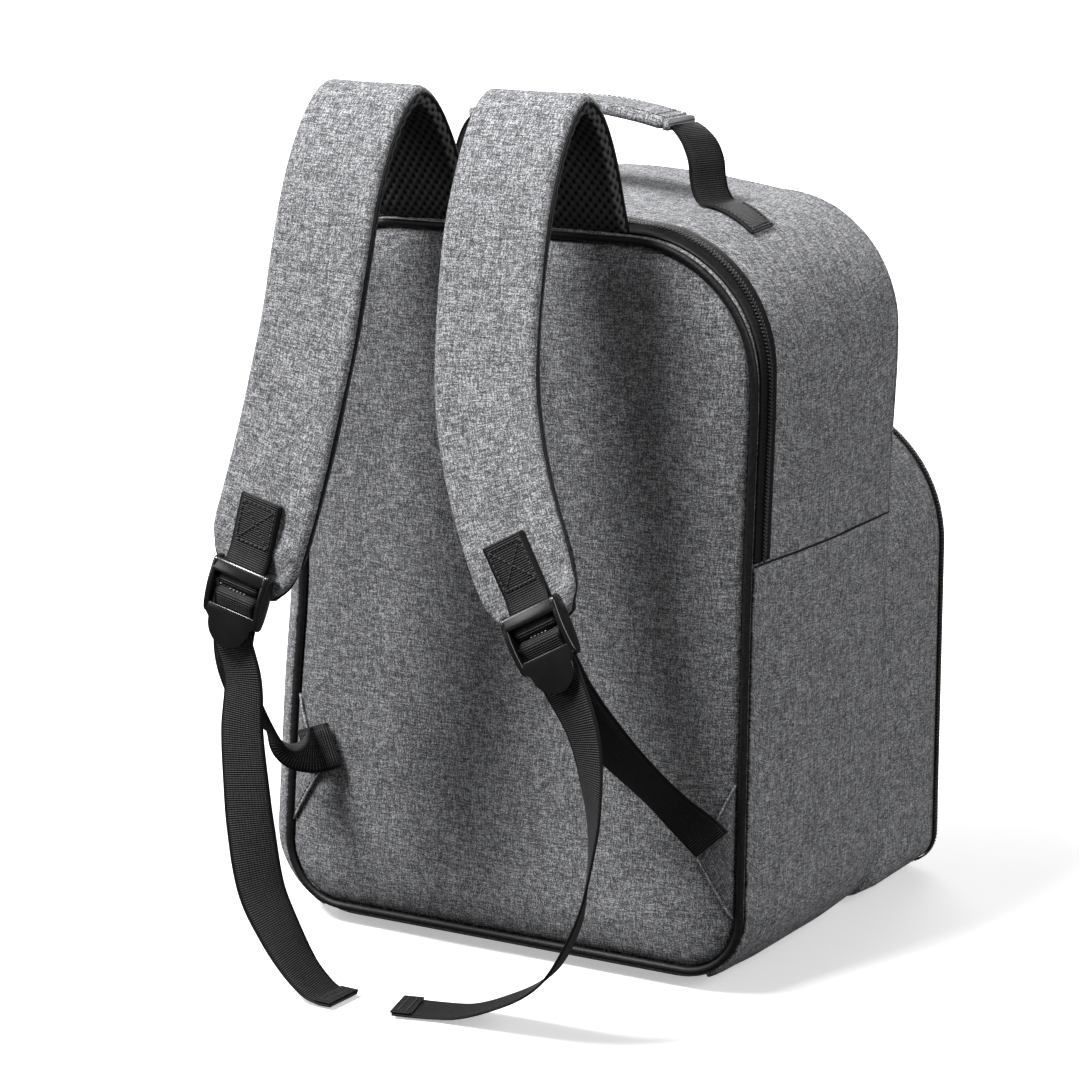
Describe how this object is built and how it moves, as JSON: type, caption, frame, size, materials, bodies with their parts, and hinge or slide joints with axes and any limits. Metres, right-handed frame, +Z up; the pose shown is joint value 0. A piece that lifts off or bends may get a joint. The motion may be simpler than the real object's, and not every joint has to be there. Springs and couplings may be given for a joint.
{
  "type": "picnic cooler backpack",
  "caption": "Boxy grey cloth cooler backpack with a zipped front pocket, flat side pockets, padded shoulder straps with ladder-lock buckles and hanging webbing tails, and a top handle.",
  "frame": {"origin": "on the floor under the middle of the base, halfway between the back piping and the front of the main body", "axes": "+Z up, +Y towards the front pocket, -Y towards the wearer's back, +X to the right as the wearer's side is looked at"},
  "size_m": [0.3079, 0.3861, 0.4657],
  "materials": {
    "grey_cloth": "matte mottled grey woven polyester",
    "dark_trim": "black zip tape, coil and edge piping with a soft sheen",
    "webbing": "black ribbed webbing",
    "spacer_mesh": "black spacer mesh with small open cells",
    "black_plastic": "satin moulded black plastic"
  },
  "bodies": {
    "root": {"body_shell": "grey_cloth", "back_panel": "grey_cloth", "back_piping": "dark_trim", "main_zip_tape": "dark_trim", "main_zip_coil": "dark_trim", "main_zip_pull": "black_plastic", "front_zip_pull": "black_plastic", "side_pocket_right": "grey_cloth", "side_pocket_left": "grey_cloth", "front_pocket_shell": "grey_cloth", "front_pocket_zip": "dark_trim", "front_pocket_panel": "grey_cloth", "strap_pad_right": "grey_cloth", "strap_pad_left": "grey_cloth", "strap_mesh_right": "spacer_mesh", "strap_mesh_left": "spacer_mesh", "strap_end_webbing_right": "webbing", "strap_end_webbing_left": "webbing", "buckle_right": "black_plastic", "buckle_left": "black_plastic", "adjust_webbing_right": "webbing", "adjust_webbing_left": "webbing", "corner_tab_right": "grey_cloth", "corner_tab_left": "grey_cloth", "handle_strap_right": "webbing", "handle_strap_left": "webbing", "handle_grip": "grey_cloth"}
  },
  "joints": []
}
